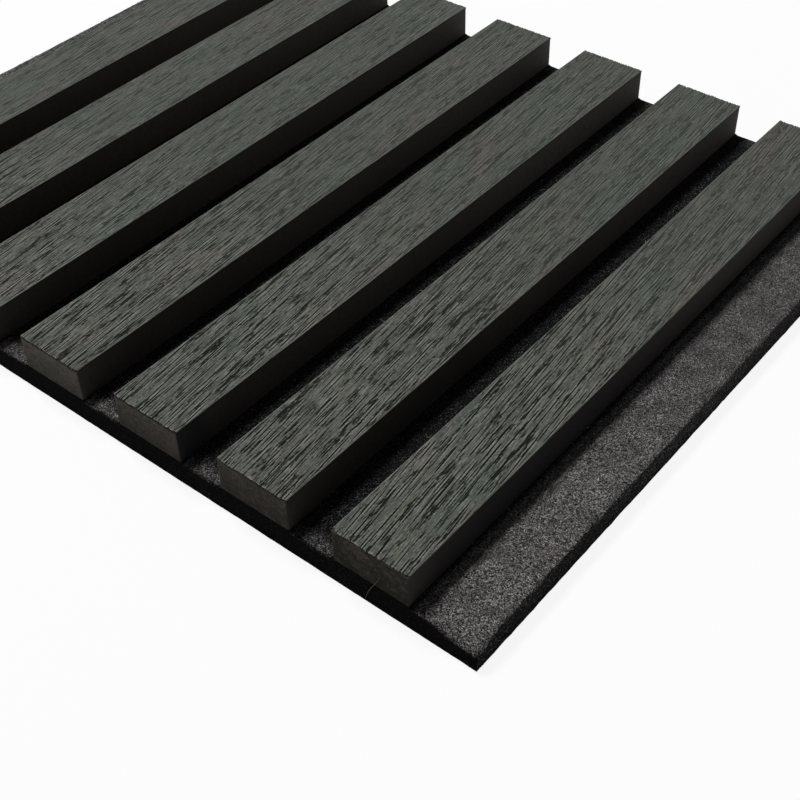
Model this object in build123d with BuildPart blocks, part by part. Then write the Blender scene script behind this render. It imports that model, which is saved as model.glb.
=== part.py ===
"""Slatted acoustic wall panel: veneered MDF slats on a felt board, lying on its back.

Millimetres. X runs across the slats, Y along them and +Z out of the wall. The origin is the middle
of the felt's back face, which is the face that goes against the wall.
"""

import os

from build123d import *

# Driving dimensions of the slats
slat_count = 7
slat_width = 26.0
slat_gap = 16.0
panel_length = 247.0
core_thickness = 11.4
veneer_thickness = 0.6
veneer_arris = 0.3  # sanded radius of the veneer's two long edges

# Driving dimensions of the felt board
felt_thickness = 9.0
felt_lip = 22.0  # bare felt beside the outermost slats
felt_edge_radius = 1.2  # the knife-cut long edges are soft

# Driving dimensions of the staples, shot in from the back
staple_crown = 12.8
staple_wire_width = 1.0  # along the slat
staple_wire_thickness = 0.7
staple_bend_radius = 1.0  # outside of the two bends
staple_bite = 7.0  # length of leg in the core
staple_sink = 0.4  # depth of the crown below the back face
staple_rows = 3
staple_end_distance = 30.0  # from a slat's end to its first staple

# Sizes that follow
slat_pitch = slat_width + slat_gap
felt_width = slat_count * slat_width + (slat_count - 1) * slat_gap + 2 * felt_lip
core_top = felt_thickness + core_thickness
staple_height = felt_thickness + staple_bite - staple_sink
staple_spacing = (panel_length - 2 * staple_end_distance) / max(staple_rows - 1, 1)
leg_spacing = staple_crown - staple_wire_thickness  # centre to centre
crown_inside = staple_crown - 2 * staple_wire_thickness

os.makedirs("parts", exist_ok=True)


def slat_center(number):
    """X of a slat's centre line, with slat 1 at the left."""
    return (number - (slat_count + 1) / 2) * slat_pitch


# One staple, crown down: a U of flat wire, its outer corners rounded where the wire was bent
with BuildPart() as staple:
    with BuildSketch(Plane.XZ) as staple_profile:
        with Locations((0, staple_sink)):
            Rectangle(staple_crown, staple_height, align=(Align.CENTER, Align.MIN))
        fillet(staple_profile.vertices().group_by(Axis.Y)[0], staple_bend_radius)
        with Locations((0, staple_sink + staple_wire_thickness)):
            Rectangle(crown_inside, staple_height, align=(Align.CENTER, Align.MIN), mode=Mode.SUBTRACT)
    extrude(amount=staple_wire_width / 2, both=True)

# All the staples, a few along each slat
with BuildPart() as back_staples:
    with GridLocations(slat_pitch, staple_spacing, slat_count, staple_rows):
        add(staple.part)

# The felt board, with a groove for each crown and holes where the legs go through
with BuildPart() as felt_backing:
    with BuildSketch(Plane.XZ) as felt_profile:
        Rectangle(felt_width, felt_thickness, align=(Align.CENTER, Align.MIN))
        fillet(felt_profile.vertices().group_by(Axis.Y)[-1], felt_edge_radius)
    extrude(amount=panel_length / 2, both=True)
    with BuildSketch(Plane.XY) as crown_grooves:
        with GridLocations(slat_pitch, staple_spacing, slat_count, staple_rows):
            Rectangle(staple_crown, staple_wire_width)
    extrude(amount=staple_sink + staple_wire_thickness, mode=Mode.SUBTRACT)
    with BuildSketch(Plane.XY) as leg_holes:
        with GridLocations(slat_pitch, staple_spacing, slat_count, staple_rows):
            with GridLocations(leg_spacing, 0, 2, 1):
                Rectangle(staple_wire_thickness, staple_wire_width)
    extrude(amount=felt_thickness, mode=Mode.SUBTRACT)

pieces = {"felt_backing": felt_backing.part, "back_staples": back_staples.part}

for number in range(1, slat_count + 1):
    x = slat_center(number)

    # The core: a plain strip, with a blind hole for each staple leg
    with BuildPart() as slat_core:
        with BuildSketch(Plane.XZ) as core_profile:
            with Locations((x, felt_thickness)):
                Rectangle(slat_width, core_thickness, align=(Align.CENTER, Align.MIN))
        extrude(amount=panel_length / 2, both=True)
        with BuildSketch(Plane.XY.offset(felt_thickness)) as bite_holes:
            with Locations((x, 0)):
                with GridLocations(leg_spacing, staple_spacing, 2, staple_rows):
                    Rectangle(staple_wire_thickness, staple_wire_width)
        extrude(amount=staple_bite, mode=Mode.SUBTRACT)
    pieces[f"slat_core_{number}"] = slat_core.part

    # The veneer: a thin strip over the core, its long edges eased by sanding
    with BuildPart() as slat_veneer:
        with BuildSketch(Plane.XZ) as veneer_profile:
            with Locations((x, core_top)):
                Rectangle(slat_width, veneer_thickness, align=(Align.CENTER, Align.MIN))
            fillet(veneer_profile.vertices().group_by(Axis.Y)[-1], veneer_arris)
        extrude(amount=panel_length / 2, both=True)
    pieces[f"slat_veneer_{number}"] = slat_veneer.part

for name, piece in pieces.items():
    piece.label = name
    export_step(piece, f"parts/{name}.step")
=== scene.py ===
"""Looks of the slatted acoustic wall panel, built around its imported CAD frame.

Metres, in the CAD frame: X across the slats, Y along them, Z out of the wall. Each slat is a strip of
black-dyed MDF under a face of stained, brushed oak veneer. The felt board carries the slats. The loose
fibres of its nap are drawn one by one, and so is the hair that is caught on its front. Sizes below are in
millimetres and are turned to metres by MM.
"""

import math

import bpy
import numpy as np
from mathutils import Matrix, Vector


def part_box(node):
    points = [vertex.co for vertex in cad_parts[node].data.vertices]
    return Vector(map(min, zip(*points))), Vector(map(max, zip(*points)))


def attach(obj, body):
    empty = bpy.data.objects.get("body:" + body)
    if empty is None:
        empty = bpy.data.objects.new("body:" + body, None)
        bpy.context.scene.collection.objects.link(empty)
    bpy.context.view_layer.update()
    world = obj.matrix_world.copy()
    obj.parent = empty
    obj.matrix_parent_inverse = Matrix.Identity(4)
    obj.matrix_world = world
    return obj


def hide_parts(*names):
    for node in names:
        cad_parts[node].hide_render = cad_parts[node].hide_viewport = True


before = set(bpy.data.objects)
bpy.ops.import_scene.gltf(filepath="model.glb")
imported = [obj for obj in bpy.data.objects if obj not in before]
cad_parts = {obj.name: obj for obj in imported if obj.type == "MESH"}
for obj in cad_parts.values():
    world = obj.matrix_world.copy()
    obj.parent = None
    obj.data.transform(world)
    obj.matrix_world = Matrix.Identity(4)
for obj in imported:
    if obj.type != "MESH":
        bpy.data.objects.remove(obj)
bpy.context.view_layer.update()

MM = 0.001
BODY = "root"
SEED = 428  # and one more for each slat
STRIP_SEED, BOARD_SEED, NAP_SEED, FRINGE_SEED = SEED + 100, SEED + 200, SEED + 300, SEED + 400
LATTICE = (97, 89)  # values of a noise before it repeats
SHARP_ANGLE = 50  # degrees, for edges that stay sharp

# Camera of the photograph, solved from the slats' corners
CAMERA_AT = (277.5, -287.63, 288.48)
CAMERA_AIM = (96.59, -74.42, 21.0)
CAMERA_ROLL = -1.796  # degrees about the line of sight
CAMERA_LENS = 60.76
CAMERA_NEAR = 10.0
SENSOR_WIDTH = 36.0

# Stage and light, in metres and watts
KEY_AT = (-0.9, 0.1, 2.2)
KEY_AIM = (0.05, -0.02, 0)
KEY_SIZE = 0.5
KEY_WATTS = 56
AMBIENT = 0.105  # even light from all round
FLOOR_HALF = 4.0
FLOOR_GLOW = 0.9  # share of plain white to the camera

# Open-pored oak face
FACE_COLUMN = 0.17  # spacing of the relief's grid across the slat
FACE_ROW = 0.95  # and along it
FACE_ARRIS = 0.3
ARRIS_STEPS = 3
GRAIN_SLOPE = 0.115  # at the near end the fibres run 6.5 degrees off the slat
GRAIN_BEND = 0.0002  # and each millimetre further on they lean that much less
GRAIN_MIDDLE = 60.0  # the drawn fibres lean as they do here
BRUSHED = (0.025, 0.7, 0.05)  # depth of the brush marks, their width, and how short they are drawn
SWELL = (0.03, 4.0, 0.2)  # the same of the hard bands that stand proud

# Pores. A kind is its usual, shortest and longest half length, and its ranges of width and depth
LONG_PORE = ((6.0, 2.5, 13.0), (0.08, 0.18), (0.09, 0.2))
SHORT_PORE = ((1.9, 0.9, 5.0), (0.1, 0.14), (0.05, 0.14))
RING_PORE = ((1.3, 0.7, 3.0), (0.095, 0.13), (0.06, 0.14))
PORE_CLUMP = ((1.4, 0.8, 2.6), (0.26, 0.45), (0.5, 1.1))
DEEPEST_PORE = 0.2
PORE_SPREAD = 0.45  # spread of the logarithm of the half lengths
PORE_SKEW = 0.012  # spread of the pores' own lean
PORE_BOW = 0.0005  # and of their own bend
PORE_COLUMNS = 5  # of the grid, to either side of a pore
CLOSE_PORES = {6: 1.35, 5: 1.35, 4: 1.3}  # slats with closer pores
PORE_LANE = 1.05  # spacing of the long pores across the grain
PORE_RUN = 15.0  # and along it
LANE_STRAY = 0.45  # how far they stray sideways, in lanes
LANE_MARGIN = 3.0  # lanes beyond the slat's sides
LONG_SHARE = 0.8  # share of the places that hold a long pore
SHORT_DENSITY = 0.1  # short pores for each square millimetre

# Growth rings, which show as bands of short pores
RINGS = 7
RING_BAND = 6.5  # spacing of the bands
RING_SPREAD = (0.75, 1.3)  # and its range
RING_START = 2.0  # the first begins this far left of the slat
RING_DENSITY = 19  # pores for each millimetre of the slat
RING_GATHER = (0.25, 0.85)  # the pores gather where a noise is high
GATHER_SIZE = 4.0
GATHER_STEP = 7.0  # in that noise, from band to band
RING_LEAN = 0.45  # share of the fibres' lean in the bands
RING_PORE_LEAN = 0.7  # and in their pores
RING_SWAY = 0.9
RING_WAVE = 27.0  # length for each radian of the sway
RING_WIDTH = 0.6

# Stain and wear of the oak face
WIPED_REACH = (30.0, 210.0)  # from the near end, where the stain begins to thin, and where it is thin
WIPED_LEAD = 13.0  # sooner for each slat further left
CLEAN_EDGE = (-0.1, 0.5)  # where sanding has closed the pores
HALO_COLUMNS = 2  # of the grid, from a pore to its pale halo
HALO_CLEAR = 1.5  # how strongly a pore keeps a halo off
RUB_SIZE = 13.0  # length of the rubbed places of the long edges
RUB_WIPED = 0.35  # share that is lost where the stain is thin
RUB_PALE_AND_HIGHLIGHT = (0.35, 0.6)  # long edges' halo, partly painted highlight, and what rubbing adds
RUB_PALE_HIGHLIGHT_SPAN = (0.25, 0.7)
RUB_BARE = 0.6  # bare wood on the long edges
RUB_BARE_SPAN = (0.55, 0.8)
BARE_END = 0.4  # the saw has worn the stain off the ends
FRAY_SIZES = (0.6, 2.5)  # of the worn places there
FRAY_BARE = 1.9
FRAY_INNER = 0.6  # share of the wear where it ends
FRAY_STAIN = 2.0  # how strongly the pores hold their stain

# Torn ends of the oak face
FACE_TEAR = ((0.15, 0.5), (0.2, 3.0))  # depths and sizes of the raggedness
PORE_TEAR = 2.5  # depths of a pore that its end breaks back
CHIP_REACH = 3.0  # a broken end disturbs the face this far back
CHIP_WIDTH = 1.2
CORNER_CHIPS = {7: (0.9, 0.5)}  # broken off the front corners of a slat, left and right
SMALL_CHIP = 0.25

# Layout of an oak face on the bake's map: where a part begins, and its size
SKIN_MAP = 0.85
BASE_MAP = (0.88, 0.05)
END_MAP_U = (0.02, 0.45)
END_MAP_V = (0.95, 0.04)
END_MAP_STEP = (0.5, 0)

# Black MDF strip
STRIP_CELL = 0.6
STRIP_ROW = 20.0
STRIP_ARRIS = 0.6  # the handled upright edges at its ends
STRIP_TEAR = ((0.05, 0.8), (0.05, 3.0))  # depths and sizes of the saw's tearing
STRIP_END_LINES = (1.5, 4.0, 8.0, 14.0)  # rows of the grid near the ends
END_TONE = 1.04  # how thin the dye is on the cut ends
# Painted light: the cut ends of these strips are lighter further left
END_TONES_PAINTED_LIGHT = {7: 0.0, 6: 0.35, 5: 0.53}
SIDE_TONE = 0.53  # and on the sides
# Painted light and shade: the sides of these strips are darker or lighter
SIDE_LIGHT_AND_SHADE_TONES = {7: 0.12, 6: 0.46, 5: 0.68}
START_PAINTED_SHADE = 0.3  # and on the sides at their two ends, darker: painted shade
START_PAINTED_SHADES = {5: 0.0}
START_SHADE_REACH = (2.0, 22.0)
FAR_PAINTED_LIGHT = 1.5  # and on the right sides towards the far end, lighter: painted light
FAR_PAINTED_LIGHTS = {7: 0.5, 6: 1.6, 5: 1.9}
FAR_LIGHT_REACH = (50.0, 210.0)

# Felt board
FELT_CELL = 1.3
FELT_ROW = 2.5
FELT_LAYERS = 6
GAP_EDGE_RADIUS = 0.8  # the cut between two slats is crisp
SIDE_EDGE_RADIUS = 1.2
LIP_EDGE_RADIUS = 4.0  # and the lip's corners are rubbed round
LIP_REACH = (3.0, 20.0)  # beyond the outer slat, where that begins and where it is full
ROLL_FOOT = 2.0  # above the back, where the edges begin to roll
SLAT_SEAM = (-0.2, 1.0)  # from covered to bare felt beside a slat
FLUSH_BAND = (3.0, 1.0)  # below the top, where the board's ends go flush with the slats
TOP_WAVE = (0.25, 3.0)  # depth and size
CUT_TUFTS = ((0.25, 1.1), (0.2, 4.0))  # depths and sizes, on the cut faces
CUT_PROUD = 0.3  # how far these stand out before that
SIDE_ROUGH = 0.6  # share of it on the knife-cut long edges
END_ROUGH = 0.35  # and on the sawn ends
ROW_BREAK = 5.0  # least distance of two rows of staples
CROWN_HALF = 6.4  # half length of a staple's crown
DIMPLE_DEPTH = 1.1
DIMPLE_WIDTH = 1.1
DIMPLE_FADE = 1.0  # beyond the ends of the crown

# Grid lines beside an edge or a staple: the first two as shares of the edge's radius
EASED_LINES = (0, 0.15, 0.4, 1)
ROLL_LINES = (0, 0.07, 0.2, 0.4, 0.66, 1)
CUT_LINES = (0, 0.1, 0.4, 1)
CROWN_LINES = (0, 5.0, 6.0, 6.6, 7.4, 9.0)
WIRE_LINES = (0, 0.5, 0.9, 1.4, 2.2, 3.5)

# Where the felt's nap stands up, and where the felt is painted lighter or darker as light and shade
LIP_NAP_AND_SHADE = (0.2, 2.8)  # beyond the outer slat, from no nap to a full one; less nap is painted shade
LIP_FAR_SHADE = 0.12  # share of it that is gone towards the far end, painted shade on the lip
LIP_FAR_SHADE_REACH = (-70.0, 40.0)
FRONT_PAINTED_LIGHT = (0.42, 0.16)  # painted light at the front of the gaps, and what is added further left
FRONT_LIGHT_REACH = (110.0, 0.0)
FRONT_LIGHT_DEPTH = (2.0, 9.0)
SIDE_NAP_AND_LIGHT = (0.24, 0.12)  # on the long edges, and the painted light added towards the far end
SIDE_LIGHT_REACH = (-80.0, -20.0)
BACK_NAP = 0.5
WORN_ROLL = 0.8  # share of a rubbed corner's drop that keeps its nap
WORN_INSET = 1.5  # further in from the edges nothing is worn
WORN_SPAN = (-2.6, -0.4)
WORN_TUFTS = ((1.6, 1.6),)  # depth and size of its ragged border
CUT_DROP = (0.3, 2.0)  # below the top, from nap to cut face
DUST_REACH = (-80.0, 60.0)

# Loose fibres of the nap
NAP_FIBRES = 24000
NAP_TRIES = 6  # places for each fibre; most are under a slat
NAP_BETWEEN = 0.4  # share of the places used between slats
NAP_BARE = 0.4  # how bare the felt has to be
NAP_MARGIN = 0.8  # kept free at the edges
NAP_ROLL = 1.0  # of a rubbed corner's radius that carries fibres
NAP_HALF = (0.4, 1.4)  # range of the half lengths
NAP_SUNK = 0.3  # depth of the fibres' ends below the top
NAP_STRAY = 0.2  # sideways spread of the bows
NAP_RISE = (0.25, 0.7)  # range of their height
NAP_THICKNESS = (0.08, 0.15)
NAP_TONE = (0.02, 0.9, 2.2)  # darkest, range, and power towards dark
PALE_FIBRES = 0.12  # share of pale ones between the slats
PALE_SHARE_AND_SHADE = (0.2, 0.8)  # of the others, and added on the lip; dark between slats: painted shade
PALE_REACH = (0.0, 4.0)

# Loose fibres of the cut edges
EDGE_FIBRES = 8000
FRINGE_ENDS = 0.2  # share of them on the sawn ends
FRINGE_RUN = (0.003, 0.997)  # part of an edge that carries them
FRINGE_SUNK = 0.35
FRINGE_HALF = (0.25, 0.9)
FRINGE_CLIMB = 0.7  # how much less they rise than they run
FRINGE_LOWEST = 0.5
FRINGE_FLOOR = 0.1  # kept free above the back
FRINGE_END_ROOM = 4.5  # kept free below the top on the sawn ends
FRINGE_SIDE_ROOM = 0.6  # and on the long edges
FRINGE_OUT = (0.15, 0.75)
FRINGE_END_OUT = 0.7  # share of that on the sawn ends
FRINGE_STRAY = 0.15
FRINGE_TONE = (0.0, 0.05)
FRINGE_SIDE_TONE = (0.0, 0.25)  # added on the long edges
FRINGE_THICKNESS = (0.06, 0.1)

# A fibre's three middle corners in degrees, and the place of its five points on the bake's map
SPINDLE_TURNS = (90, 210, 330)
SPINDLE_MAP_U = (0, 0, 0.01, 0.02, 0.02)
SPINDLE_MAP_V = (0.02, 0.45, 0.5, 0.55, 0.98)

# Stray hair on the front, from the last slat's left side, the felt's front face and its back face
HAIR_KNOTS = ((16.6, -0.1, 14.4), (14.9, -0.2, 10.2), (13.0, -0.3, 6.5), (11.2, -0.3, 1.2))
HAIR_THICKNESS = 0.16
HAIR_TIP = 0.04  # share of its length that is missing from each tapered tip
HAIR_STEPS = 25
HAIR_SIDES = 6

SLATS = sorted(int(name.rsplit("_", 1)[1]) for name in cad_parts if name.startswith("slat_veneer_"))


def node_box(name):
    """Lowest and highest corner of a CAD node, in millimetres."""
    low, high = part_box(name)
    return np.array(low) / MM, np.array(high) / MM


FELT_LOW, FELT_HIGH = node_box("felt_backing")
SLAT_BOXES = {number: node_box(f"slat_core_{number}") for number in SLATS}


def smooth_step(low, high, value):
    """0 at low and beyond it, 1 at high and beyond it, and a smooth cubic between."""
    t = np.clip((value - low) / (high - low), 0, 1)
    return t * t * (3 - 2 * t)


def value_noise(a, b, size, rng):
    """Smooth random field from 0 to 1 over the plane (a, b).

    Random values stand on a square lattice of that size, and smooth steps join them.
    """
    lattice = rng.random(LATTICE)
    i, j = np.floor(a / size).astype(int), np.floor(b / size).astype(int)
    fa, fb = smooth_step(0, 1, a / size - i), smooth_step(0, 1, b / size - j)
    corner = [[lattice[(i + p) % LATTICE[0], (j + q) % LATTICE[1]] for q in (0, 1)] for p in (0, 1)]
    near = corner[0][0] * (1 - fb) + corner[0][1] * fb
    far = corner[1][0] * (1 - fb) + corner[1][1] * fb
    return near * (1 - fa) + far * fa


def layered_noise(a, b, layers, rng):
    """Sum of smooth random fields over the plane (a, b), each with its depth and its size."""
    return sum(depth * value_noise(a, b, size, rng) for depth, size in layers)


def make_piece(name, points, faces, materials, replaced=(), values=None, face_material=None, uv=None):
    """A mesh piece at the origin, from points in millimetres and faces as lists of point numbers.

    values holds one number for each point under an attribute name, face_material the material's place in
    the list for each face, and uv the bake's map, one pair for each face corner in order.
    """
    mesh = bpy.data.meshes.new(name)
    mesh.from_pydata((np.asarray(points) * MM).tolist(), [], faces)
    for material in materials:
        mesh.materials.append(material)
    for attribute, numbers in (values or {}).items():
        layer = mesh.attributes.new(attribute, "FLOAT", "POINT")
        layer.data.foreach_set("value", np.asarray(numbers, np.float32).ravel())
    if face_material is not None:
        mesh.polygons.foreach_set("material_index", np.asarray(face_material, np.int32))
    if uv is not None:
        mesh.uv_layers.new(name="OFBake").data.foreach_set("uv", np.asarray(uv, np.float32).ravel())
    mesh.polygons.foreach_set("use_smooth", np.ones(len(mesh.polygons), bool))
    mesh.set_sharp_from_angle(angle=math.radians(SHARP_ANGLE))
    mesh.update()
    piece = bpy.data.objects.new(name, mesh)
    bpy.context.scene.collection.objects.link(piece)
    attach(piece, BODY)
    if replaced:
        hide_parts(*replaced)
    return piece


def box_shell(xs, ys, zs):
    """Outer skin of a lattice of grid lines: closed quads that face outwards.

    Returns the points, the place of each point among the three sets of lines, and the quads.
    """
    ids = np.arange(len(xs) * len(ys) * len(zs)).reshape(len(xs), len(ys), len(zs))
    quads = []
    for side in (ids[:, :, -1], ids[:, :, 0].T, ids[:, 0], ids[:, -1].T, ids[0].T, ids[-1]):
        corners = [side[:-1, :-1], side[1:, :-1], side[1:, 1:], side[:-1, 1:]]
        quads.append(np.stack(corners, -1).reshape(-1, 4))
    used, faces = np.unique(np.concatenate(quads), return_inverse=True)
    i, j, k = np.unravel_index(used, ids.shape)
    return np.stack([xs[i], ys[j], zs[k]], -1), (i, j, k), faces.reshape(-1, 4)


def ease_edges(points, low, high, radius):
    """Rounds a box's edges. radius is one number, or one for each point and axis.

    Each point goes to the surface of a ball, or of an ellipsoid of those radii, that rolls inside the box.
    """
    inner = np.clip(points, low + radius, high - radius)
    out = (points - inner) / radius
    return inner + radius * out / np.maximum(np.linalg.norm(out, axis=1, keepdims=True), 1e-9)


# Materials


def linear(code):
    """Linear RGBA of an sRGB hex colour."""
    srgb = np.array([int(code[k : k + 2], 16) for k in (0, 2, 4)]) / 255
    return (*np.where(srgb <= 0.04045, srgb / 12.92, ((srgb + 0.055) / 1.055) ** 2.4), 1.0)


def add(tree, kind, inputs=None, output=None, **settings):
    """Adds a shader node with its settings, and returns it, or the output that is asked for.

    inputs maps sockets to values, or to the outputs that they are linked from.
    """
    made = tree.nodes.new(f"ShaderNode{kind}")
    for key, value in settings.items():
        setattr(made, key, value)
    for key, value in (inputs or {}).items():
        if isinstance(value, bpy.types.NodeSocket):
            tree.links.new(value, made.inputs[key])
        else:
            made.inputs[key].default_value = value
    return made if output is None else made.outputs[output]


MIX_A, MIX_B, MIX_OUT = 6, 7, 2  # sockets of a Mix node set to colour


def start_material(name):
    """An empty node material, its tree and Object coordinates."""
    material = bpy.data.materials.new(name)
    material.use_nodes = True
    tree = material.node_tree
    tree.nodes.clear()
    return material, tree, add(tree, "TexCoord", output="Object")


def lay_colours(tree, colour, layers):
    """Lays colours over a first one, in order. A colour is a hex code, or the output that gives it.

    A layer is a field, its value where the layer begins, its value where the layer is full, how much the
    layer then covers, and its colour. A smooth step joins the two values.
    """
    for field, begins, full, cover, over in layers:
        span = {"Value": field, "From Min": begins, "From Max": full, "To Max": cover}
        share = add(tree, "MapRange", span, "Result", interpolation_type="SMOOTHSTEP")
        pair = [linear(part) if isinstance(part, str) else part for part in (colour, over)]
        colours = {"Factor": share, MIX_A: pair[0], MIX_B: pair[1]}
        colour = add(tree, "Mix", colours, MIX_OUT, data_type="RGBA")
    return colour


def finish_material(tree, finish, rough=None, relief=None):
    """Ends a material with its surface. finish holds the colour and the sockets that stay plain.

    rough is a field, and the roughness where it is 0 and where it is 1. relief is a height, how strongly
    it shows, and its depth in millimetres.
    """
    if rough:
        span = dict(zip(("Value", "To Min", "To Max"), rough))
        finish["Roughness"] = add(tree, "MapRange", span, "Result")
    if relief:
        height, strength, depth = relief
        bump = {"Height": height, "Strength": strength, "Distance": depth * MM}
        finish["Normal"] = add(tree, "Bump", bump, "Normal")
    add(tree, "OutputMaterial", {"Surface": add(tree, "BsdfPrincipled", finish, "BSDF")})


def stained_oak_veneer():
    """Oak veneer, wire-brushed and stained grey: matt, with dark stain left in its open pores.

    The mesh brings five attributes: stain in the pores, a halo beside them where the brush has rubbed the
    raised fibres pale, which along the long edges is also a painted edge highlight, clumps of pores
    that are too fine for the mesh and are hatched in here, bare wood at worn edges, and where the stain
    was wiped thinner. Streaks, fibres, flecks and tint follow the grain. Real fibres are about 0.02 mm
    wide; they are drawn at about 0.3 mm so that they show.
    """
    material, tree, place = start_material("stained_oak_veneer")
    stain, halo, clump, bare, wiped = (
        add(tree, "Attribute", output="Fac", attribute_name=name)
        for name in ("stain", "halo", "clump", "bare", "wiped")
    )
    lean = (0, 0, math.atan(GRAIN_SLOPE - GRAIN_MIDDLE * GRAIN_BEND))
    fields = []
    for across, along in ((5.0, 24.0), (9.0, 30.0), (1.0, 9.0), (0.35, 7.0), (0.32, 2.2), (0.3, 1.2)):
        size = (across * MM, along * MM, across * MM)
        spread = {"Vector": place, "Rotation": lean, "Scale": size}
        drawn_out = add(tree, "Mapping", spread, "Vector", vector_type="TEXTURE")
        pattern = {"Vector": drawn_out, "Scale": 1.0, "Detail": 2.0}
        fields.append(add(tree, "TexNoise", pattern, "Fac"))
    tone, tint, streak, fibre, dash, fleck = fields
    hatch = add(tree, "Math", {0: clump, 1: -0.25, 2: dash}, "Value", operation="MULTIPLY_ADD")
    patches = ((tint, 0.52, 0.68, 0.5, "414d45"), (tint, 0.46, 0.32, 0.45, "4f4946"))
    thin = lay_colours(tree, "454842", patches)
    layers = (
        (tone, 0.3, 0.7, 1.0, "565852"),
        (tone, 0.57, 0.7, 0.4, "4c4d3c"),
        (tint, 0.54, 0.7, 0.5, "43524a"),
        (tint, 0.44, 0.3, 0.45, "5f5653"),
        (streak, 0.46, 0.28, 0.27, "2a2c27"),
        (streak, 0.53, 0.7, 0.4, "7c7e76"),
        (fibre, 0.45, 0.35, 0.5, "242622"),
        (fleck, 0.47, 0.28, 0.6, "2b2d28"),
        (fibre, 0.54, 0.7, 0.5, "888a81"),
        (fleck, 0.54, 0.74, 0.4, "8c8e85"),
        (hatch, 0.385, 0.285, 0.97, "0b0d08"),
        (halo, 0.2, 0.7, 0.6, "93958e"),
        (stain, 0.1, 0.26, 1.0, "070904"),
        (wiped, 0.0, 1.0, 0.5, thin),
        (bare, 0.3, 0.7, 0.9, "7a776f"),
    )
    colour = lay_colours(tree, "484a45", layers)
    height = add(tree, "Math", {0: fibre, 1: fleck}, "Value", operation="ADD")
    rough = (fibre, 0.75, 0.5)
    relief = (height, 0.5, 0.06)
    finish = {
        "Base Color": colour,
        "Specular IOR Level": 0.06,
    }
    finish_material(tree, finish, rough, relief)
    return material


def raw_oak_end():
    """Cut end of the veneer: end grain that drank the stain, dull brown, paler between its pores.

    The mouths of the pores are about 0.2 mm wide; they are drawn at 0.8 mm so that they show.
    """
    material, tree, place = start_material("raw_oak_end")
    pattern = {"Vector": place, "Scale": 1 / (0.8 * MM), "Detail": 2.0}
    mouths = add(tree, "TexNoise", pattern, "Fac")
    layers = ((mouths, 0.45, 0.3, 0.8, "1c1a17"), (mouths, 0.56, 0.66, 0.8, "7d786c"))
    finish = {
        "Base Color": lay_colours(tree, "3d3a34", layers),
        "Roughness": 0.8,
        "Specular IOR Level": 0.06,
    }
    finish_material(tree, finish)
    return material


def black_dyed_mdf():
    """Fibreboard dyed black through: sawn, dull, browner on the cut ends, where the dye is patchy.

    The tone attribute is how thinly the dye has taken, from 0 to 2, which differs from strip to strip; it
    also carries painted light and shade: the ends lighter on the strips further left, the sides darker or
    lighter from strip to strip, darker at their two ends, and lighter on the right towards the far end.
    foot goes from 0 at the top to 1 at the bottom, where the ends are darker: painted shade beside the
    felt. Single fibres are finer than the render shows; the grit is drawn at 0.45 mm so that a few pale
    ones can be seen.
    """
    material, tree, place = start_material("black_dyed_mdf")
    clump, hue, grit = (
        add(tree, "TexNoise", {"Vector": place, "Scale": 1 / (size * MM), "Detail": 2.0}, "Fac")
        for size in (1.6, 7.0, 0.45)
    )
    tone, foot = (
        add(tree, "Attribute", output="Fac", attribute_name=name) for name in ("tone", "foot")
    )
    normal = add(tree, "NewGeometry", output="Normal")
    facing = add(tree, "SeparateXYZ", {"Vector": normal}, "Y")
    cut_end = add(tree, "Math", {0: facing}, "Value", operation="ABSOLUTE")
    side_layers = (
        (tone, 0.0, 1.0, 1.0, "5d5957"),
        (tone, 1.0, 2.0, 1.0, "7d7876"),
        (clump, 0.55, 0.3, 0.15, "1b191a"),
    )
    end_layers = (
        (tone, 0.0, 1.0, 1.0, "5a5551"),
        (hue, 0.52, 0.68, 0.55, "594e45"),
        (hue, 0.48, 0.32, 0.55, "48493c"),
        (clump, 0.48, 0.3, 0.4, "272521"),
        (clump, 0.54, 0.7, 0.25, "6f685e"),
        (grit, 0.44, 0.28, 0.5, "1c1a15"),
        (grit, 0.6, 0.75, 0.4, "8c8478"),
        # painted shade: the ends darken towards the felt
        (foot, 0.0, 1.0, 0.45, "0c0b09"),
    )
    dyed = lay_colours(tree, "292727", side_layers)
    sawn = lay_colours(tree, "33302b", end_layers)
    rough = (grit, 0.95, 0.75)
    relief = (grit, 0.5, 0.1)
    finish = {
        "Base Color": lay_colours(tree, dyed, ((cut_end, 0.4, 0.95, 1.0, sawn),)),
        "Specular IOR Level": 0.03,
    }
    finish_material(tree, finish, rough, relief)
    return material


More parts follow.
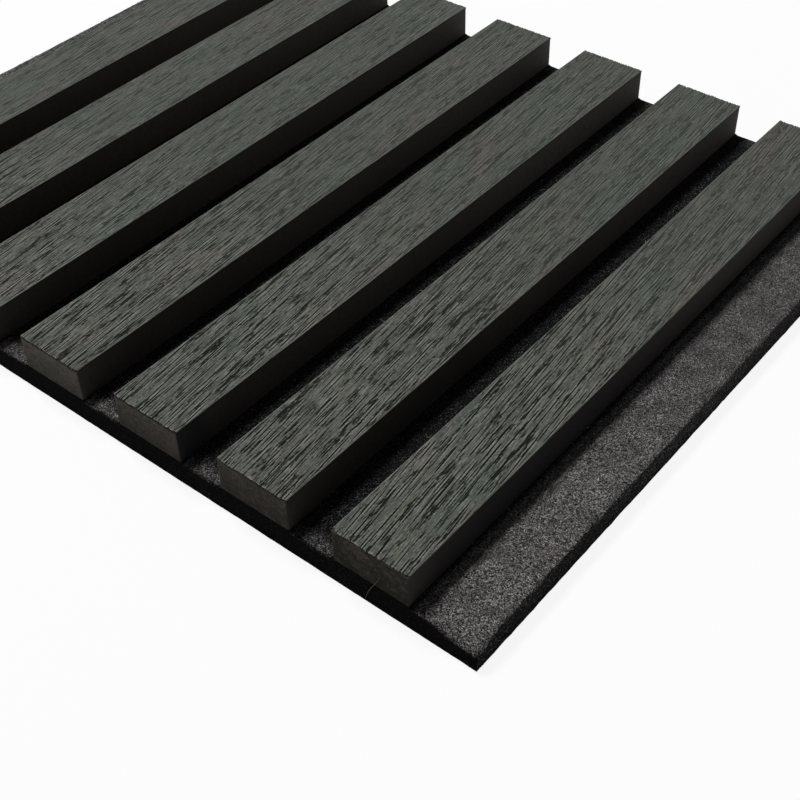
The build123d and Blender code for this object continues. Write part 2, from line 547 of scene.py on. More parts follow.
def charcoal_polyester_felt():
    """Needled polyester felt: dull, a nap of mixed dark and pale fibres, near black where it was cut.

    The nap attribute is 1 on the handled lips, where the fibres stand up, and less between the slats and
    beside the outer slat, where the felt is painted darker as shade. It is raised again at the front of
    the gaps, more further left, and on the long edges towards the far end, as painted light, and on the lip
    it falls towards the far end as painted shade. cut is 1 on the sawn front and back faces, which are
    smooth and dark; dust greys the nap towards the far end. Real fibres are about 0.03 mm thick; they are
    drawn as strokes of about 0.2 by 0.9 mm, in three directions, so that they show.
    """
    material, tree, place = start_material("charcoal_polyester_felt")
    nap, cut, dust = (
        add(tree, "Attribute", output="Fac", attribute_name=name) for name in ("nap", "cut", "dust")
    )
    tuft, tinge, cloud = (
        add(tree, "TexNoise", {"Vector": place, "Scale": 1 / (size * MM), "Detail": 2.0}, "Fac")
        for size in (1.0, 4.0, 7.0)
    )
    stroke = (0.85 * MM, 0.18 * MM, 0.4 * MM)
    strokes = 0.0
    for heading in (20, 80, -35):
        spread = {"Vector": place, "Rotation": (0, 0, math.radians(heading)), "Scale": stroke}
        laid = add(tree, "Mapping", spread, "Vector", vector_type="TEXTURE")
        fibres = add(tree, "TexNoise", {"Vector": laid, "Scale": 1.0, "Detail": 1.0}, "Fac")
        strokes = add(tree, "Math", {0: fibres, 1: strokes}, "Value", operation="MAXIMUM")
    mixed = ((tinge, 0.55, 0.7, 0.6, "6d706a"), (tinge, 0.45, 0.3, 0.6, "756b6a"))
    pale = lay_colours(tree, "6c6969", mixed)
    lit = (
        (strokes, 0.51, 0.65, 1.0, pale),
        (strokes, 0.62, 0.76, 1.0, "ccc8c7"),
        (dust, 0.0, 1.0, 0.4, "474344"),
    )
    raised = lay_colours(tree, "0f0e0f", lit)
    # The flat colour is the felt between the slats and beside the outer slat, painted darker as shade.
    flat = lay_colours(tree, "0d0d0e", ((strokes, 0.65, 0.78, 1.0, "7c7977"),))
    nap_light_shade = add(tree, "Math", {0: tuft, 1: 0.6, 2: nap}, "Value", operation="MULTIPLY_ADD")
    layers = (
        (nap_light_shade, 0.4, 1.2, 1.0, raised),
        (cloud, 0.58, 0.35, 0.3, "181818"),
        (cut, 0.0, 1.0, 0.8, "090909"),
    )
    rough = (strokes, 1.0, 0.85)
    relief = (strokes, 0.9, 0.3)
    finish = {
        "Base Color": lay_colours(tree, flat, layers),
        "Specular IOR Level": 0.01,
    }
    finish_material(tree, finish, rough, relief)
    return material


def loose_polyester_fibre():
    """Single polyester fibres of the felt, black to pale grey, with the slight gloss of melt-spun thread.

    The piece's own map gives each fibre its tone across the map, and the place along it up the map.
    """
    material, tree, _ = start_material("loose_polyester_fibre")
    spot = add(tree, "UVMap", output="UV", uv_map="OFBake")
    tone = add(tree, "SeparateXYZ", {"Vector": spot}, "X")
    colours = {"Factor": tone, MIX_A: linear("0e0e0f"), MIX_B: linear("b4b0ae")}
    finish = {
        "Base Color": add(tree, "Mix", colours, MIX_OUT, data_type="RGBA"),
        "Roughness": 0.6,
        "Specular IOR Level": 0.03,
    }
    finish_material(tree, finish)
    return material


def galvanised_staple_wire():
    """Flat steel wire with a dull zinc skin, scuffed where the staple gun struck it."""
    material, tree, place = start_material("galvanised_staple_wire")
    pattern = {"Vector": place, "Scale": 1 / (0.8 * MM), "Detail": 3.0}
    scuff = add(tree, "TexNoise", pattern, "Fac")
    rough = (scuff, 0.3, 0.55)
    finish = {
        "Base Color": lay_colours(tree, "8f9193", ((scuff, 0.3, 0.7, 1.0, "c4c6c8"),)),
        "Metallic": 1.0,
    }
    finish_material(tree, finish, rough)
    return material


def tan_hair():
    """A stray hair: smooth and slightly glossy, tan, darker here and there along its length."""
    material, tree, place = start_material("tan_hair")
    pattern = {"Vector": place, "Scale": 1 / (2.0 * MM), "Detail": 1.0}
    band = add(tree, "TexNoise", pattern, "Fac")
    rough = (band, 0.4, 0.6)
    finish = {
        "Base Color": lay_colours(tree, "645647", ((band, 0.5, 0.3, 0.6, "433629"),)),
        "Specular IOR Level": 0.1,
    }
    finish_material(tree, finish, rough)
    return material


OAK = stained_oak_veneer()
OAK_END = raw_oak_end()
MDF = black_dyed_mdf()
FELT = charcoal_polyester_felt()
FIBRE = loose_polyester_fibre()
HAIR = tan_hair()
STAPLE = galvanised_staple_wire()


# Oak faces


def stamp_pores(field, origin, cell, pores):
    """Presses pores into a depth field, and keeps the deeper one where two cross.

    A pore's depth falls off across the grain as a bell curve of its own width, and along the grain as
    a half ellipse of its half length. Its centre line leans by its slope and bends by its bend.
    """
    x, y, half, width, depth, slope, bend = pores[:, :, None, None]
    reach = int(np.ceil(half.max() / cell[1])) + 1
    steps = np.arange(-reach, reach + 1)[None, :, None]
    rows = np.round((y - origin[1]) / cell[1]).astype(int) + steps
    along = origin[1] + rows * cell[1] - y
    line = x + slope * along + bend * along**2
    steps = np.arange(-PORE_COLUMNS, PORE_COLUMNS + 1)[None, None, :]
    columns = np.round((line - origin[0]) / cell[0]).astype(int) + steps
    across = origin[0] + columns * cell[0] - line
    value = depth * np.exp(-((across / width) ** 2)) * np.sqrt(np.clip(1 - (along / half) ** 2, 0, 1))
    rows, columns = np.broadcast_arrays(rows, columns)
    inside = (rows >= 0) & (rows < field.shape[0]) & (columns >= 0) & (columns < field.shape[1])
    np.maximum.at(field, (rows[inside], columns[inside]), value[inside])


def draw_pores(rng, x, y, kind, slope):
    """The pores of a kind at those places: rows of x, y, half length, width, depth, slope and bend."""
    (usual, shortest, longest), width, depth = kind
    count = len(x)
    return np.stack(
        [
            x,
            y,
            rng.lognormal(math.log(usual), PORE_SPREAD, count).clip(shortest, longest),
            rng.uniform(*width, count),
            rng.uniform(*depth, count),
            slope + rng.normal(0, PORE_SKEW, count),
            rng.normal(0, PORE_BOW, count),
        ]
    )


def grain_shift(back):
    """How far a fibre has moved sideways at that distance behind the near end: the sum of its lean."""
    return -(GRAIN_SLOPE * back - GRAIN_BEND * back**2 / 2)


def grain_lean(back):
    """Sideways run of the fibres for each millimetre along the slat, at that distance."""
    return GRAIN_BEND * back - GRAIN_SLOPE


def long_pores(rng, low, high, closeness):
    """Thin pores drawn out along the grain: lanes of broken lines, evenly spread but not ruled."""
    length = high[1] - low[1]
    lanes = np.arange(low[0] - LANE_MARGIN, high[0] - grain_shift(length) + LANE_MARGIN, PORE_LANE)
    runs = np.arange(-PORE_RUN, length + PORE_RUN, PORE_RUN)
    lane, run = (part.ravel() for part in np.meshgrid(lanes, runs))
    kept = rng.random(len(lane)) < LONG_SHARE * closeness
    lane, run = lane[kept], run[kept]
    back = run + rng.uniform(0, PORE_RUN, len(run))
    x = lane + grain_shift(back) + rng.normal(0, LANE_STRAY * PORE_LANE, len(lane))
    return draw_pores(rng, x, low[1] + back, LONG_PORE, grain_lean(back))


def short_pores(rng, low, high):
    """Short faint pores scattered between the long ones."""
    count = int(SHORT_DENSITY * (high[0] - low[0]) * (high[1] - low[1]))
    x, back = rng.uniform(low[0], high[0], count), rng.uniform(0, high[1] - low[1], count)
    return draw_pores(rng, x, low[1] + back, SHORT_PORE, grain_lean(back))


def ring_pores(rng, low, high, closeness):
    """Where a growth ring began: short fine pores in clumps, along bands that lean less than the fibres.

    Gives the clumps and the pores.
    """
    length = high[1] - low[1]
    spacing = rng.uniform(RING_SPREAD[0] * RING_BAND, RING_SPREAD[1] * RING_BAND, RINGS)
    bands = low[0] - RING_START + np.cumsum(spacing)
    count = int(RING_DENSITY * closeness * length)
    lane, back = rng.integers(len(bands), size=count), rng.uniform(0, length, count)
    chance = rng.random(count)
    kept = chance < smooth_step(*RING_GATHER, value_noise(GATHER_STEP * lane, back, GATHER_SIZE, rng))
    lane, back = lane[kept], back[kept]
    wander = RING_SWAY * np.sin(back / RING_WAVE + low[0]) + rng.normal(0, RING_WIDTH, len(lane))
    x = bands[lane] + RING_LEAN * grain_shift(back) + wander
    y = low[1] + back
    slope = RING_PORE_LEAN * grain_lean(back)
    half = len(lane) // 2
    clumps = draw_pores(rng, x[:half], y[:half], PORE_CLUMP, slope[:half])
    fine = draw_pores(rng, x[half:], y[half:], RING_PORE, slope[half:])
    return clumps, fine


def pore_fields(number, low, high, flat, rows, rng):
    """Depth of the pores, and of their clumps, on the grid of the face's flat part."""
    depth = np.zeros((len(rows), len(flat)))
    clump = np.zeros_like(depth)
    closeness = CLOSE_PORES.get(number, 1.0)
    clumps, fine = ring_pores(rng, low, high, closeness)
    drawn_out = long_pores(rng, low, high, closeness)
    short = short_pores(rng, low, high)
    cell = (flat[1] - flat[0], rows[1] - rows[0])
    for field, pores in ((depth, drawn_out), (depth, short), (depth, fine), (clump, clumps)):
        stamp_pores(field, (low[0] + FACE_ARRIS, low[1]), cell, pores)
    return depth * smooth_step(*CLEAN_EDGE, np.minimum(flat - flat[0], flat[-1] - flat)), clump


def strip_faces(ids, under):
    """Faces of the closed veneer strip, from the numbers of its skin's points and of those under its ends.

    They are the skin over the profile, the base, the two ends of the base, and the front and back ends.
    """
    skin = np.stack([ids[:-1, :-1], ids[:-1, 1:], ids[1:, 1:], ids[1:, :-1]], -1).reshape(-1, 4)
    base = np.stack([ids[1:-2, -1], ids[1:-2, 0], ids[2:-1, 0], ids[2:-1, -1]], -1)
    base_ends = [
        [ids[0, -1], *under[0, ::-1], ids[0, 0], ids[1, 0], ids[1, -1]],
        [ids[-2, -1], ids[-2, 0], ids[-1, 0], *under[1], ids[-1, -1]],
    ]
    lower = np.concatenate([ids[[0, -1], :1], under, ids[[0, -1], -1:]], 1)
    upper = ids[[0, -1], 1:-1]
    front = np.stack([lower[0, :-1], lower[0, 1:], upper[0, 1:], upper[0, :-1]], -1)
    back = np.stack([upper[1, :-1], upper[1, 1:], lower[1, 1:], lower[1, :-1]], -1)
    return skin, base, base_ends, front, back


def oak_face(number):
    """Brushed veneer strip: a profile with rounded arrises along the slat, closed below and at its ends.

    The top is a height field: the pores are pressed into it, and the hard bands between them stand a little
    proud. The cut ends are ragged: they break back where a pore runs out, and along a bell curve at each
    corner. The break dies out over its reach, so that the grid never folds.
    """
    low, high = node_box(f"slat_veneer_{number}")
    rng = np.random.default_rng(SEED + number)
    width, length, thick = high - low
    flat = np.linspace(FACE_ARRIS, width - FACE_ARRIS, int((width - 2 * FACE_ARRIS) / FACE_COLUMN) + 1)
    turn = np.linspace(0, math.pi / 2, ARRIS_STEPS + 1)[:-1]
    arc_x, arc_z = FACE_ARRIS * (1 - np.cos(turn)), FACE_ARRIS * (np.sin(turn) - 1)
    profile_x = np.concatenate([[0], arc_x, flat, width - arc_x[::-1], [width]])
    profile_z = np.concatenate([[-thick], arc_z, 0 * flat, arc_z[::-1], [-thick]])
    rows = np.linspace(0, length, int(length / FACE_ROW) + 1)
    field, clump = pore_fields(number, low, high, flat, rows, rng)
    rows[[1, -2]] = BARE_END, length - BARE_END

    side = len(arc_x) + 1
    margin = ((0, 0), (side, side))
    depth = np.pad(field, margin, mode="linear_ramp")
    depth[:, [0, -1]] = 0
    beside = np.maximum(np.roll(field, HALO_COLUMNS, 1), np.roll(field, -HALO_COLUMNS, 1))
    halo = np.pad((beside - HALO_CLEAR * field).clip(0) / DEEPEST_PORE, margin)
    clump = np.pad(clump, margin)
    beyond = rows + WIPED_LEAD * (SLATS[-1] - number)
    wiped = np.broadcast_to(smooth_step(*WIPED_REACH, beyond)[:, None], depth.shape)
    rubbed = np.stack([value_noise(rows, 0 * rows, RUB_SIZE, rng) for _ in range(2)], -1)
    rubbed *= 1 - RUB_WIPED * wiped[:, :1]
    # The pale line along the long edges is partly rubbed wood, partly a painted edge highlight.
    pale = RUB_PALE_AND_HIGHLIGHT[0] + RUB_PALE_AND_HIGHLIGHT[1] * smooth_step(*RUB_PALE_HIGHLIGHT_SPAN, rubbed)
    halo[:, :side] = pale[:, :1]
    halo[:, -side:] = pale[:, 1:]
    stain = depth / DEEPEST_PORE
    stain[:, [0, -1]] = 1
    fine, coarse = (value_noise(profile_x, 0 * profile_x, size, rng) for size in FRAY_SIZES)
    bare = np.zeros_like(depth)
    bare[[0, -1]] = fine * coarse
    bare[[1, -2]] = FRAY_INNER * bare[[0, -1]]
    bare = (FRAY_BARE * bare - FRAY_STAIN * stain).clip(0)
    worn = RUB_BARE * smooth_step(*RUB_BARE_SPAN, rubbed)
    bare[:, 1:side] = np.maximum(bare[:, 1:side], worn[:, :1])
    bare[:, -side:-1] = np.maximum(bare[:, -side:-1], worn[:, 1:])

    torn = [
        layered_noise(profile_x, 0 * profile_x, FACE_TEAR, rng) + PORE_TEAR * depth[row] for row in (0, -1)
    ]
    chips = CORNER_CHIPS.get(number, (SMALL_CHIP, SMALL_CHIP))
    for chip, off in zip(chips, (profile_x, width - profile_x)):
        torn[0] += chip * np.exp(-((off / CHIP_WIDTH) ** 2))
    fades = [np.clip(1 - off / CHIP_REACH, 0, 1)[:, None] for off in (rows, length - rows)]
    x, y = np.broadcast_arrays(low[0] + profile_x[None, :], (low[1] + rows)[:, None])
    relief = depth.copy()
    for deep, size, drawn in (BRUSHED, SWELL):
        relief += deep * value_noise(x + GRAIN_SLOPE * y, drawn * y, size, rng)
    z = high[2] + profile_z[None, :] - (profile_z > -thick)[None, :] * relief
    y = y + fades[0] * torn[0] - fades[1] * torn[1]
    top = np.stack([x, y, z], -1)
    foot = top[[0, -1], 2:-2].copy()
    foot[:, :, 2] = low[2]
    points = np.concatenate([top.reshape(-1, 3), foot.reshape(-1, 3)])

    ids = np.arange(depth.size).reshape(depth.shape)
    under = ids.size + np.arange(foot[..., 0].size).reshape(2, -1)
    skin, base, base_ends, front, back = strip_faces(ids, under)
    faces = skin.tolist() + base.tolist() + base_ends + front.tolist() + back.tolist()
    cut = np.zeros(len(faces), np.int32)
    cut[-len(front) - len(back) :] = 1

    share = (points - low) / (width, length, thick)
    girth = np.concatenate([[0], np.cumsum(np.hypot(np.diff(profile_x), np.diff(profile_z)))])
    spots = np.broadcast_arrays((rows / length)[:, None], (SKIN_MAP * girth / girth[-1])[None, :])
    skin_map = np.stack(spots, -1).reshape(-1, 2)
    base_map = np.stack([share[:, 1], BASE_MAP[0] + BASE_MAP[1] * share[:, 0]], -1)
    end_u, end_v = END_MAP_U[0] + END_MAP_U[1] * share[:, 0], END_MAP_V[0] + END_MAP_V[1] * share[:, 2]
    end_map = np.stack([end_u, end_v], -1)
    uv = np.concatenate(
        [
            skin_map[skin.ravel()],
            base_map[np.concatenate([base.ravel(), *base_ends])],
            end_map[front.ravel()],
            end_map[back.ravel()] + END_MAP_STEP,
        ]
    )
    values = {"stain": stain, "halo": halo, "clump": clump, "bare": bare, "wiped": wiped}
    values = {name: np.pad(part.ravel(), (0, foot[..., 0].size)) for name, part in values.items()}
    name, node = f"oak_face_{number}", f"slat_veneer_{number}"
    return make_piece(name, points, faces, [OAK, OAK_END], [node], values, cut, uv)


# MDF strips


def mdf_strip(number):
    """Sawn fibreboard strip: a box with eased upright edges, its two cut ends torn slightly by the saw."""
    low, high = SLAT_BOXES[number]
    rng = np.random.default_rng(STRIP_SEED + number)
    eased = STRIP_ARRIS * np.array(EASED_LINES)
    ends = np.concatenate([STRIP_ARRIS * np.array(CUT_LINES), STRIP_END_LINES])
    lines = []
    for axis, near, cell in ((0, eased, STRIP_CELL), (1, ends, STRIP_ROW), (2, eased[:1], STRIP_CELL)):
        first, last = low[axis] + near[-1], high[axis] - near[-1]
        inner = np.linspace(first, last, int((last - first) / cell) + 1)[1:-1]
        lines.append(np.concatenate([low[axis] + near, inner, high[axis] - near[::-1]]))
    points, (_, j, _), faces = box_shell(*lines)
    upright = STRIP_ARRIS * np.array([0, 0, 1])
    points = ease_edges(points, low - upright, high + upright, STRIP_ARRIS)
    for row, inward in ((0, 1), (j.max(), -1)):
        end = j == row
        points[end, 1] += inward * layered_noise(points[end, 0], points[end, 2], STRIP_TEAR, rng)

    back = points[:, 1] - low[1]
    from_end = np.minimum(back, high[1] - points[:, 1])
    right = points[:, 0] > (low[0] + high[0]) / 2
    # Painted shade: the sides are darker near their two ends.
    start_shade = START_PAINTED_SHADES.get(number, START_PAINTED_SHADE)
    # Painted light and shade: the sides' tone differs from strip to strip.
    middle = SIDE_LIGHT_AND_SHADE_TONES.get(number, SIDE_TONE)
    # Painted light: the right sides are lighter towards the far end.
    far = np.where(right, FAR_PAINTED_LIGHTS.get(number, FAR_PAINTED_LIGHT), middle)
    side = start_shade + (middle - start_shade) * smooth_step(*START_SHADE_REACH, from_end)
    side += (far - middle) * smooth_step(*FAR_LIGHT_REACH, back)
    # Painted light: the cut ends are lighter on the strips further left.
    tone = np.where((j > 0) & (j < j.max()), side, END_TONES_PAINTED_LIGHT.get(number, END_TONE))
    # foot is painted shade on the cut ends beside the felt.
    values = {"tone": tone, "foot": (high[2] - points[:, 2]) / (high[2] - low[2])}
    name, node = f"mdf_strip_{number}", f"slat_core_{number}"
    return make_piece(name, points, faces.tolist(), [MDF], [node], values)


# Felt board and nap


def exposed_felt(x):
    """1 where the felt is bare, 0 under a slat, with a soft step at each slat's sides."""
    bare = np.ones_like(x)
    for low, high in SLAT_BOXES.values():
        bare = np.minimum(bare, smooth_step(*SLAT_SEAM, np.maximum(low[0] - x, x - high[0])))
    return bare


def lip_distance(x):
    """Millimetres beyond the outer side of the outermost slat; negative between the slats."""
    return np.maximum(SLAT_BOXES[SLATS[0]][0][0] - x, x - SLAT_BOXES[SLATS[-1]][1][0])


def staple_rows():
    """Y of each row of staples, from the first and last points of the staple node's rows."""
    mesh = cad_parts["back_staples"].data
    places = np.empty(len(mesh.vertices) * 3)
    mesh.vertices.foreach_get("co", places)
    y = np.sort(places[1::3]) / MM
    groups = np.split(y, np.flatnonzero(np.diff(y) > ROW_BREAK) + 1)
    return [float((part[0] + part[-1]) / 2) for part in groups]


STAPLE_ROWS = staple_rows()


def felt_lines():
    """Grid lines of the board: fine where the felt is bare and around the staples, coarse elsewhere."""
    stations = [FELT_LOW[0]]
    for low, high in SLAT_BOXES.values():
        stations += [low[0], high[0]]
    stations.append(FELT_HIGH[0])
    side_roll = SIDE_EDGE_RADIUS * np.array(EASED_LINES)
    front_roll = LIP_EDGE_RADIUS * np.array(ROLL_LINES)
    crown, wire = np.array(CROWN_LINES), np.array(WIRE_LINES)
    xs = [FELT_LOW[0] + side_roll, FELT_HIGH[0] - side_roll]
    for left, right in zip(stations[::2], stations[1::2]):
        xs.append(np.linspace(left, right, int((right - left) / FELT_CELL) + 2))
    for low, high in SLAT_BOXES.values():
        middle = (low[0] + high[0]) / 2
        xs += [middle + crown, middle - crown]
    ys = [np.linspace(FELT_LOW[1], FELT_HIGH[1], int((FELT_HIGH[1] - FELT_LOW[1]) / FELT_ROW) + 1)]
    ys += [FELT_LOW[1] + front_roll, FELT_HIGH[1] - front_roll]
    for row in STAPLE_ROWS:
        ys += [row + wire, row - wire]
    zs = [np.linspace(FELT_LOW[2], FELT_HIGH[2] - LIP_EDGE_RADIUS, FELT_LAYERS), FELT_HIGH[2] - front_roll]
    return [np.unique(np.round(np.concatenate(part), 3)) for part in (xs, ys, zs)]


def felt_board():
    """Felt board: a slab with soft edges where it is bare, and a dimple in its back at each staple.

    Under the slats the board is flat and cut flush. Where it is bare, its top rolls off at the edges, most
    at the lip's corners, and waves a little, and the cut faces are uneven. Round each staple the back is
    drawn in along a bell curve.
    """
    rng = np.random.default_rng(BOARD_SEED)
    points, (i, j, k), faces = box_shell(*felt_lines())
    x, y, z = points.T.copy()
    bare, lip = exposed_felt(x), lip_distance(x)
    front_radius = GAP_EDGE_RADIUS + (LIP_EDGE_RADIUS - GAP_EDGE_RADIUS) * smooth_step(*LIP_REACH, lip)
    off_ends = np.minimum(y - FELT_LOW[1], FELT_HIGH[1] - y)
    near_end = 1 - smooth_step(0, 2 * LIP_EDGE_RADIUS, off_ends)
    top_radius = SIDE_EDGE_RADIUS + (front_radius - SIDE_EDGE_RADIUS) * near_end
    radii = np.stack([np.full_like(x, SIDE_EDGE_RADIUS), front_radius, top_radius], -1)
    rounded = ease_edges(points, FELT_LOW, FELT_HIGH, radii)
    upper = smooth_step(ROLL_FOOT, FELT_HIGH[2] - LIP_EDGE_RADIUS / 2, z)
    points += (rounded - points) * (bare * upper)[:, None]
    top = z >= FELT_HIGH[2]
    points[top, 2] -= (bare * layered_noise(x, y, (TOP_WAVE,), rng))[top]
    flush = (1 - bare) * smooth_step(FELT_HIGH[2] - FLUSH_BAND[0], FELT_HIGH[2] - FLUSH_BAND[1], z)
    for face, axis, inward, run, rough in (
        (i == 0, 0, 1, y, SIDE_ROUGH),
        (i == i.max(), 0, -1, y, SIDE_ROUGH),
        (j == 0, 1, 1, x, END_ROUGH),
        (j == j.max(), 1, -1, x, END_ROUGH),
    ):
        tufts = layered_noise(run, z, CUT_TUFTS, rng) - CUT_PROUD
        points[face, axis] += (inward * rough * (1 - flush) * tufts)[face]
    back = k == 0
    for row in STAPLE_ROWS:
        for low, high in SLAT_BOXES.values():
            beside = np.maximum(np.abs(x - (low[0] + high[0]) / 2) - CROWN_HALF, 0)
            dimple = np.exp(-(((y - row) / DIMPLE_WIDTH) ** 2) - (beside / DIMPLE_FADE) ** 2)
            points[back, 2] += DIMPLE_DEPTH * dimple[back]

    ends, edges = (j == 0) | (j == j.max()), (i == 0) | (i == i.max())
    drop = FELT_HIGH[2] - points[:, 2] - WORN_ROLL * (front_radius - GAP_EDGE_RADIUS) * near_end
    inset = np.minimum(FELT_HIGH[:2] - points[:, :2], points[:, :2] - FELT_LOW[:2])
    over = np.minimum(inset.min(1), WORN_INSET) - drop
    worn = smooth_step(*WORN_SPAN, over - layered_noise(x + z, y - z, WORN_TUFTS, rng))
    # Painted light: the felt at the front of the gaps is lighter, more so further left.
    front = (FRONT_PAINTED_LIGHT[0] + FRONT_PAINTED_LIGHT[1] * smooth_step(*FRONT_LIGHT_REACH, x)) * bare
    front *= 1 - smooth_step(*FRONT_LIGHT_DEPTH, inset[:, 1])
    # Painted shade: the felt has no nap between the slats, and little just beside the outer slat.
    nap = np.maximum(smooth_step(*LIP_NAP_AND_SHADE, lip), front) * worn
    # Painted shade: the lip darkens towards the far end.
    nap *= 1 - LIP_FAR_SHADE * smooth_step(*LIP_FAR_SHADE_REACH, y)
    # Painted light: the long edges are lighter towards the far end.
    side_nap_and_light = (SIDE_NAP_AND_LIGHT[0] + SIDE_NAP_AND_LIGHT[1] * smooth_step(*SIDE_LIGHT_REACH, y)) * edges
    nap = np.maximum(nap, np.maximum(side_nap_and_light, BACK_NAP * back))
    cut = ends * (1 - bare * (1 - smooth_step(*CUT_DROP, drop)))
    values = {"nap": nap, "cut": cut, "dust": smooth_step(*DUST_REACH, y)}
    return make_piece("felt_board", points, faces.tolist(), [FELT], ["felt_backing"], values)


def across_run(run, toward):
    """Two unit vectors across each run: one that is square to the other vector too, and one towards it."""
    run = run / np.linalg.norm(run, axis=1, keepdims=True)
    side = np.cross(run, toward)
    side /= np.linalg.norm(side, axis=1, keepdims=True)
    return side, np.cross(side, run)


def fibre_spindles(name, centre, reach, bow, thickness, tone):
    """Fibres as closed spindles: two sunk ends and a three-sided middle that bows away from the felt."""
    root, tip = centre - reach, centre + reach
    middle = (root + tip) / 2 + bow
    side, up = across_run(tip - root, bow)
    ring = [
        middle + thickness[:, None] / 2 * (math.cos(turn) * side + math.sin(turn) * up)
        for turn in np.radians(SPINDLE_TURNS)
    ]
    points = np.stack([root, *ring, tip], 1).reshape(-1, 3)
    pattern = np.array([(0, 1, 2), (0, 2, 3), (0, 3, 1), (4, 2, 1), (4, 3, 2), (4, 1, 3)])
    faces = (pattern[None] + 5 * np.arange(len(root))[:, None, None]).reshape(-1, 3)
    spot_u = (tone[:, None] + SPINDLE_MAP_U).ravel()
    spot_v = np.tile(SPINDLE_MAP_V, len(root))
    uv = np.stack([spot_u, spot_v], -1)[faces.ravel()]
    return make_piece(name, points, faces.tolist(), [FIBRE], uv=uv)


def felt_nap():
    """Fibres that lie on the bare top of the felt, in every direction.

    Each is an arc over its half length either way, whose ends are sunk and whose middle bows up.
    """
    rng = np.random.default_rng(NAP_SEED)
    x = rng.uniform(FELT_LOW[0] + NAP_MARGIN, FELT_HIGH[0] - NAP_MARGIN, NAP_TRIES * NAP_FIBRES)
    used = (lip_distance(x) > 0) | (rng.random(len(x)) < NAP_BETWEEN)
    x = x[(exposed_felt(x) > NAP_BARE) & used][:NAP_FIBRES]
    count = len(x)
    lip = lip_distance(x)
    keep_off = NAP_MARGIN + (LIP_EDGE_RADIUS - NAP_ROLL) * smooth_step(*LIP_REACH, lip)
    y = (FELT_HIGH[1] - keep_off) * rng.uniform(-1, 1, count)
    heading, half = rng.uniform(0, 2 * math.pi, count), rng.uniform(*NAP_HALF, count)
    reach = np.stack([np.cos(heading) * half, np.sin(heading) * half, 0 * half], -1)
    centre = np.stack([x, y, np.full(count, FELT_HIGH[2] - NAP_SUNK)], -1)
    stray = [NAP_STRAY * rng.normal(size=count) for _ in range(2)]
    bow = np.stack([*stray, rng.uniform(*NAP_RISE, count)], -1)
    # Painted shade: most fibres between the slats are dark, those on the lip pale.
    lip_pale = PALE_SHARE_AND_SHADE[0] + PALE_SHARE_AND_SHADE[1] * smooth_step(*PALE_REACH, lip)
    pale = np.maximum(rng.random(count) < PALE_FIBRES, lip_pale)
    darkest, span, power = NAP_TONE
    tone = (darkest + span * rng.random(count) ** power) * pale
    thickness = rng.uniform(*NAP_THICKNESS, count)
    return fibre_spindles("felt_nap", centre, reach, bow, thickness, tone)


def felt_fringe():
    """Fibres that stand out of the cut edges: most on the knife-cut long edges, few on the sawn ends.

    Each is an arc along its edge, whose ends are sunk in the felt and whose middle bows outwards.
    """
    rng = np.random.default_rng(FRINGE_SEED)
    count, size = EDGE_FIBRES, FELT_HIGH - FELT_LOW
    on_end = rng.random(count) < FRINGE_ENDS
    far = rng.random(count) < 0.5
    share = rng.uniform(*FRINGE_RUN, count)
    outward = np.where(far, 1.0, -1.0)
    edge = np.where(far[:, None], FELT_HIGH, FELT_LOW)
    x = np.where(on_end, FELT_LOW[0] + share * size[0], edge[:, 0] - outward * FRINGE_SUNK)
    y = np.where(on_end, edge[:, 1] - outward * FRINGE_SUNK, FELT_LOW[1] + share * size[1])
    heading, half = rng.uniform(0, 2 * math.pi, count), rng.uniform(*FRINGE_HALF, count)
    level, rise = np.cos(heading) * half, np.sin(heading) * half * FRINGE_CLIMB
    reach = np.stack([np.where(on_end, level, 0), np.where(on_end, 0, level), rise], -1)
    head_room = np.where(on_end, FRINGE_END_ROOM, FRINGE_SIDE_ROOM) + np.abs(rise)
    z = rng.uniform(FRINGE_LOWEST, size[2], count)
    z = np.clip(z, np.abs(rise) + FRINGE_FLOOR, size[2] - head_room)
    centre = np.stack([x, y, z], -1)
    out = rng.uniform(*FRINGE_OUT, count) * outward * np.where(on_end, FRINGE_END_OUT, 1)
    stray = FRINGE_STRAY * rng.normal(size=count)
    climb = np.maximum(stray, FRINGE_FLOOR - z)
    bow = np.stack([np.where(on_end, 0, out), np.where(on_end, out, 0), climb], -1)
    tone = rng.uniform(*FRINGE_TONE, count)
    tone += np.where(on_end, 0, rng.uniform(*FRINGE_SIDE_TONE, count))
    thickness = rng.uniform(*FRINGE_THICKNESS, count)
    return fibre_spindles("felt_fringe", centre, reach, bow, thickness, tone)


def stray_hair():
    """The hair caught on the front of the last slat: a round tube along a smooth curve.

    The curve is the cubic through its four points. A ring of points stands across it at each step, and the
    rings shrink to a tip at both ends.
    """
    knots = np.array(HAIR_KNOTS) + (SLAT_BOXES[SLATS[-1]][0][0], FELT_LOW[1], FELT_LOW[2])
    t = np.linspace(0, 1, HAIR_STEPS)
    cubic = np.polyfit(np.linspace(0, 1, len(knots)), knots, len(knots) - 1)
    curve = np.stack([np.polyval(part, t) for part in cubic.T], -1)
    side, up = across_run(np.gradient(curve, axis=0), (0, 1, 0))
    angle = np.linspace(0, 2 * math.pi, HAIR_SIDES, endpoint=False)
    taper = np.sqrt(np.sin(math.pi * (HAIR_TIP + (1 - 2 * HAIR_TIP) * t)))
    ring = np.cos(angle)[None, :, None] * side[:, None] + np.sin(angle)[None, :, None] * up[:, None]
    points = (curve[:, None] + HAIR_THICKNESS / 2 * taper[:, None, None] * ring).reshape(-1, 3)
    ids = np.arange(len(points)).reshape(HAIR_STEPS, HAIR_SIDES)
    around = np.roll(ids, -1, 1)
    tube = np.stack([ids[:-1], ids[1:], around[1:], around[:-1]], -1).reshape(-1, 4)
    caps = [ids[0].tolist(), ids[-1, ::-1].tolist()]
    return make_piece("stray_hair", points, tube.tolist() + caps, [HAIR])


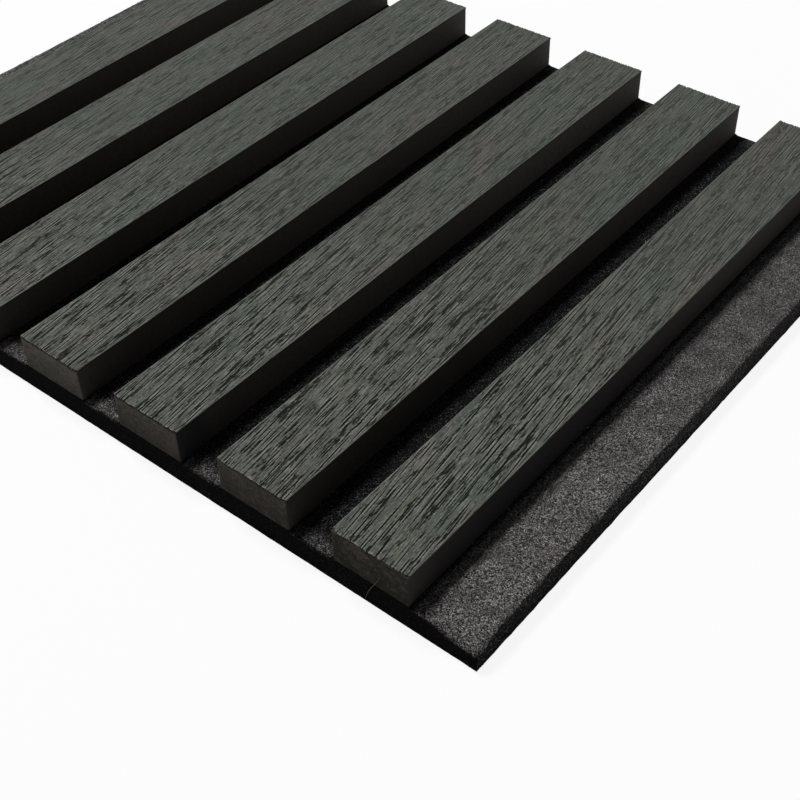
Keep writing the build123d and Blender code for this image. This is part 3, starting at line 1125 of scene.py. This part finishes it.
for number in SLATS:
    oak_face(number)
    mdf_strip(number)
felt_board()
felt_nap()
felt_fringe()
stray_hair()
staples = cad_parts["back_staples"]
staples.data.materials.clear()
staples.data.materials.append(STAPLE)


# Stage, light and camera


def white_to_the_eye(tree):
    """1 for rays from the camera, and for rays that show the background in gloss or through glass."""
    path = add(tree, "LightPath")
    seen = path.outputs["Is Camera Ray"]
    for ray in ("Is Glossy Ray", "Is Transmission Ray"):
        seen = add(tree, "Math", {0: seen, 1: path.outputs[ray]}, "Value", operation="MAXIMUM")
    return seen


def studio_floor():
    """Pale floor that the panel lies on: near white to the camera, still darker in the panel's shadow."""
    material, tree, _ = start_material("studio_floor")
    paper = add(tree, "BsdfDiffuse", {"Color": linear("e8e8e8")}, "BSDF")
    glow = add(tree, "Emission", {"Color": linear("ffffff"), "Strength": 1.0}, "Emission")
    parts = {0: white_to_the_eye(tree), 1: FLOOR_GLOW}
    share = add(tree, "Math", parts, "Value", operation="MULTIPLY")
    mixed = add(tree, "MixShader", {"Fac": share, 1: paper, 2: glow}, "Shader")
    add(tree, "OutputMaterial", {"Surface": mixed})
    mesh = bpy.data.meshes.new("floor")
    corners = [(FLOOR_HALF * p, FLOOR_HALF * q, 0) for p, q in ((-1, -1), (1, -1), (1, 1), (-1, 1))]
    mesh.from_pydata(corners, [], [(0, 1, 2, 3)])
    mesh.materials.append(material)
    floor = bpy.data.objects.new("floor", mesh)
    bpy.context.scene.collection.objects.link(floor)


def studio_world():
    """White to the camera, and a dim even light on everything else."""
    world = bpy.data.worlds.new("studio")
    bpy.context.scene.world = world
    world.use_nodes = True
    tree = world.node_tree
    tree.nodes.clear()
    span = {"Value": white_to_the_eye(tree), "To Min": AMBIENT, "To Max": 1.0}
    strength = add(tree, "MapRange", span, "Result")
    sky = add(tree, "Background", {"Color": linear("ffffff"), "Strength": strength}, "Background")
    add(tree, "OutputWorld", {"Surface": sky})


def soft_box(name, place, aim, size, watts):
    """A square lamp at a place, turned to its aim."""
    lamp = bpy.data.lights.new(name, "AREA")
    lamp.size = size
    lamp.energy = watts
    box = bpy.data.objects.new(name, lamp)
    box.location = place
    box.rotation_euler = (Vector(aim) - Vector(place)).to_track_quat("-Z", "Y").to_euler()
    bpy.context.scene.collection.objects.link(box)


studio_floor()
studio_world()
soft_box("key", KEY_AT, KEY_AIM, KEY_SIZE, KEY_WATTS)

lens = bpy.data.cameras.new("camera")
lens.lens = CAMERA_LENS
lens.sensor_width = SENSOR_WIDTH
lens.clip_start = CAMERA_NEAR * MM
camera = bpy.data.objects.new("camera", lens)
spot, aim = Vector(CAMERA_AT) * MM, Vector(CAMERA_AIM) * MM
sight = (aim - spot).to_track_quat("-Z", "Y").to_matrix().to_4x4()
roll = Matrix.Rotation(math.radians(CAMERA_ROLL), 4, "Z")
camera.matrix_world = Matrix.Translation(spot) @ sight @ roll
bpy.context.scene.collection.objects.link(camera)
bpy.context.scene.camera = camera
bpy.context.scene.view_settings.view_transform = "Standard"
